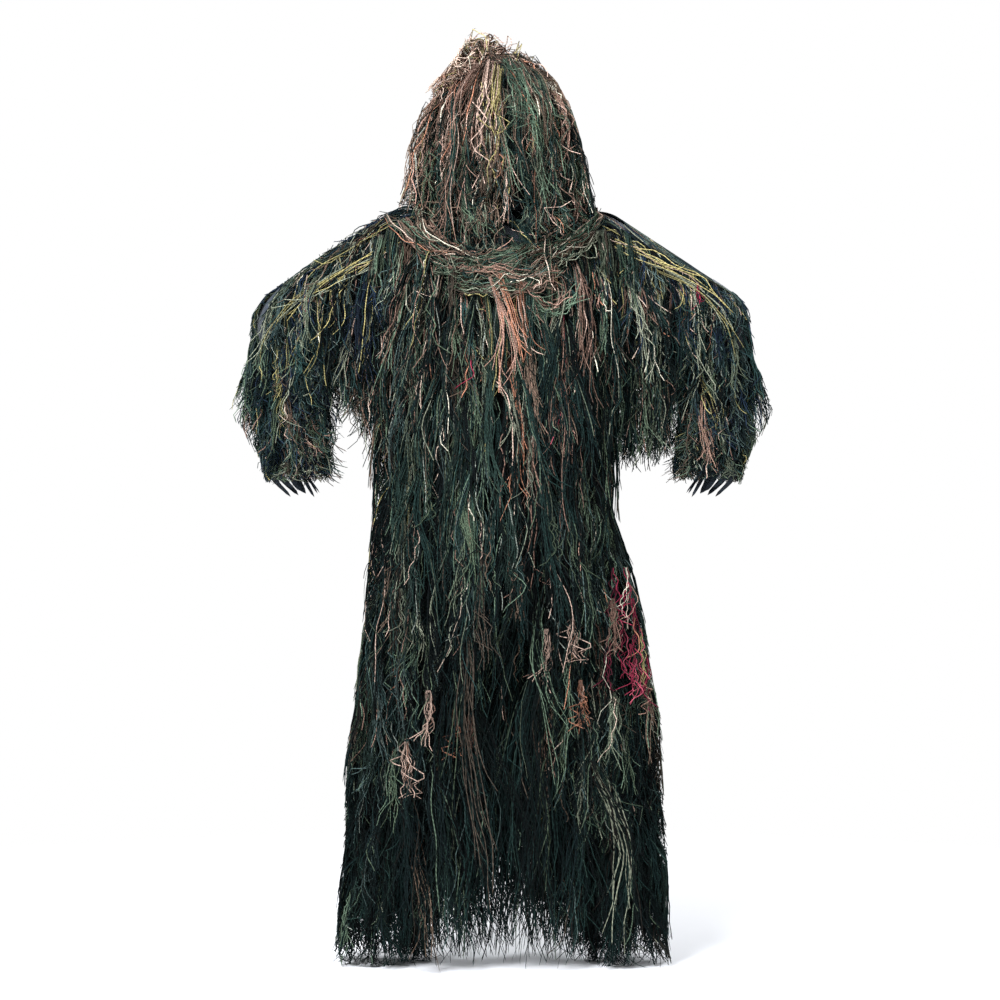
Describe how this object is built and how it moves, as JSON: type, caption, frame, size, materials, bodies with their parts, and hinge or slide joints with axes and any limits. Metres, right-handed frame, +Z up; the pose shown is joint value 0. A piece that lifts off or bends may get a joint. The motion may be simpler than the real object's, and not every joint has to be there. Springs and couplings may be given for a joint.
{
  "type": "ghillie suit",
  "caption": "Full ghillie suit as worn: hood with face veil, zipped jacket and trousers of dark cloth and netting, covered in long hanging strands for camouflage.",
  "frame": {"origin": "on the ground, midway between the wearer's feet", "axes": "+Z up along the wearer, -Y is the front, +X is the wearer's left"},
  "size_m": [1.0856, 0.382, 1.84],
  "materials": {
    "cloth": "matte",
    "canvas": "matte",
    "thatch_green": "matte",
    "thatch_olive": "matte",
    "thatch_moss": "matte",
    "thatch_brown": "matte",
    "thatch_black": "matte",
    "net": "matte",
    "elastic": "matte",
    "zip_tape": "matte",
    "zip_plastic": "satin",
    "zip_metal": "satin"
  },
  "bodies": {
    "trunk": {"jacket_back": "cloth", "back_thatch": "thatch_green", "jacket_front_left": "cloth", "jacket_front_right": "cloth", "front_thatch_left": "thatch_olive", "front_thatch_right": "thatch_moss", "jacket_hem_elastic": "elastic", "shoulder_yoke": "cloth", "yoke_thatch_left": "thatch_brown", "yoke_thatch_right": "thatch_brown", "collar": "cloth", "hanger_loop": "zip_tape", "zip_tape_left": "zip_tape", "zip_tape_right": "zip_tape", "zip_teeth_left": "zip_plastic", "zip_teeth_right": "zip_plastic", "trouser_seat": "cloth", "trouser_waistband": "elastic", "crotch_gusset": "cloth"},
    "zip_slide_body": {"zip_slider": "zip_metal"},
    "zip_pull_body": {"zip_pull": "zip_metal"},
    "hood": {"hood_left": "cloth", "hood_right": "cloth", "hood_thatch_left": "thatch_moss", "hood_thatch_right": "thatch_moss", "hood_brow": "cloth", "brow_thatch": "thatch_brown", "crown_patch": "canvas", "crown_tuft": "thatch_brown", "face_edge_binding": "elastic"},
    "veil": {"face_veil": "net", "veil_thatch": "thatch_green"},
    "arm_upper_left": {"upper_sleeve_left": "cloth", "upper_sleeve_thatch_left": "thatch_brown"},
    "arm_lower_left": {"lower_sleeve_left": "cloth", "lower_sleeve_thatch_left": "thatch_black", "cuff_elastic_left": "elastic", "elbow_patch_left": "canvas", "cuff_strips_left": "canvas"},
    "leg_upper_left": {"thigh_left": "cloth", "thigh_thatch_left": "thatch_green", "inner_leg_curtain_left": "thatch_olive"},
    "leg_lower_left": {"shin_left": "cloth", "shin_thatch_left": "thatch_black", "ankle_elastic_left": "elastic", "knee_patch_left": "canvas"},
    "arm_upper_right": {"upper_sleeve_right": "cloth", "upper_sleeve_thatch_right": "thatch_brown"},
    "arm_lower_right": {"lower_sleeve_right": "cloth", "lower_sleeve_thatch_right": "thatch_black", "cuff_elastic_right": "elastic", "elbow_patch_right": "canvas", "cuff_strips_right": "canvas"},
    "leg_upper_right": {"thigh_right": "cloth", "thigh_thatch_right": "thatch_green", "inner_leg_curtain_right": "thatch_olive"},
    "leg_lower_right": {"shin_right": "cloth", "shin_thatch_right": "thatch_black", "ankle_elastic_right": "elastic", "knee_patch_right": "canvas"}
  },
  "joints": [
    {"name": "hood_tip", "type": "hinge", "parent": "trunk", "child": "hood", "pos_m": [0, 0.15, 1.545], "axis": [-1, 0, 0], "range_deg": [0, 90]},
    {"name": "veil_lift", "type": "hinge", "parent": "hood", "child": "veil", "pos_m": [0, -0.134, 1.7425], "axis": [-1, 0, 0], "range_deg": [0, 110]},
    {"name": "zip_slide", "type": "slide", "parent": "trunk", "child": "zip_slide_body", "axis": [0, 0, -1], "range_m": [0, 0.47]},
    {"name": "zip_pull_swing", "type": "hinge", "parent": "zip_slide_body", "child": "zip_pull_body", "pos_m": [0, -0.15265, 1.375], "axis": [-1, 0, 0], "range_deg": [0, 110]},
    {"name": "shoulder_left", "type": "hinge", "parent": "trunk", "child": "arm_upper_left", "pos_m": [0.19, 0, 1.43], "axis": [0, -1, 0], "range_deg": [-5, 45]},
    {"name": "elbow_left", "type": "hinge", "parent": "arm_upper_left", "child": "arm_lower_left", "pos_m": [0.43682, 0, 1.2875], "axis": [0, 1, 0], "range_deg": [-60, 5]},
    {"name": "hip_left", "type": "hinge", "parent": "trunk", "child": "leg_upper_left", "pos_m": [0.11, 0, 0.93], "axis": [-1, 0, 0], "range_deg": [-20, 25]},
    {"name": "knee_left", "type": "hinge", "parent": "leg_upper_left", "child": "leg_lower_left", "pos_m": [0.18611, 0, 0.5], "axis": [1, 0, 0], "range_deg": [0, 70]},
    {"name": "shoulder_right", "type": "hinge", "parent": "trunk", "child": "arm_upper_right", "pos_m": [-0.19, 0, 1.43], "axis": [0, 1, 0], "range_deg": [-5, 45]},
    {"name": "elbow_right", "type": "hinge", "parent": "arm_upper_right", "child": "arm_lower_right", "pos_m": [-0.43682, 0, 1.2875], "axis": [0, -1, 0], "range_deg": [-60, 5]},
    {"name": "hip_right", "type": "hinge", "parent": "trunk", "child": "leg_upper_right", "pos_m": [-0.11, 0, 0.93], "axis": [-1, 0, 0], "range_deg": [-20, 25]},
    {"name": "knee_right", "type": "hinge", "parent": "leg_upper_right", "child": "leg_lower_right", "pos_m": [-0.18611, 0, 0.5], "axis": [1, 0, 0], "range_deg": [0, 70]}
  ]
}
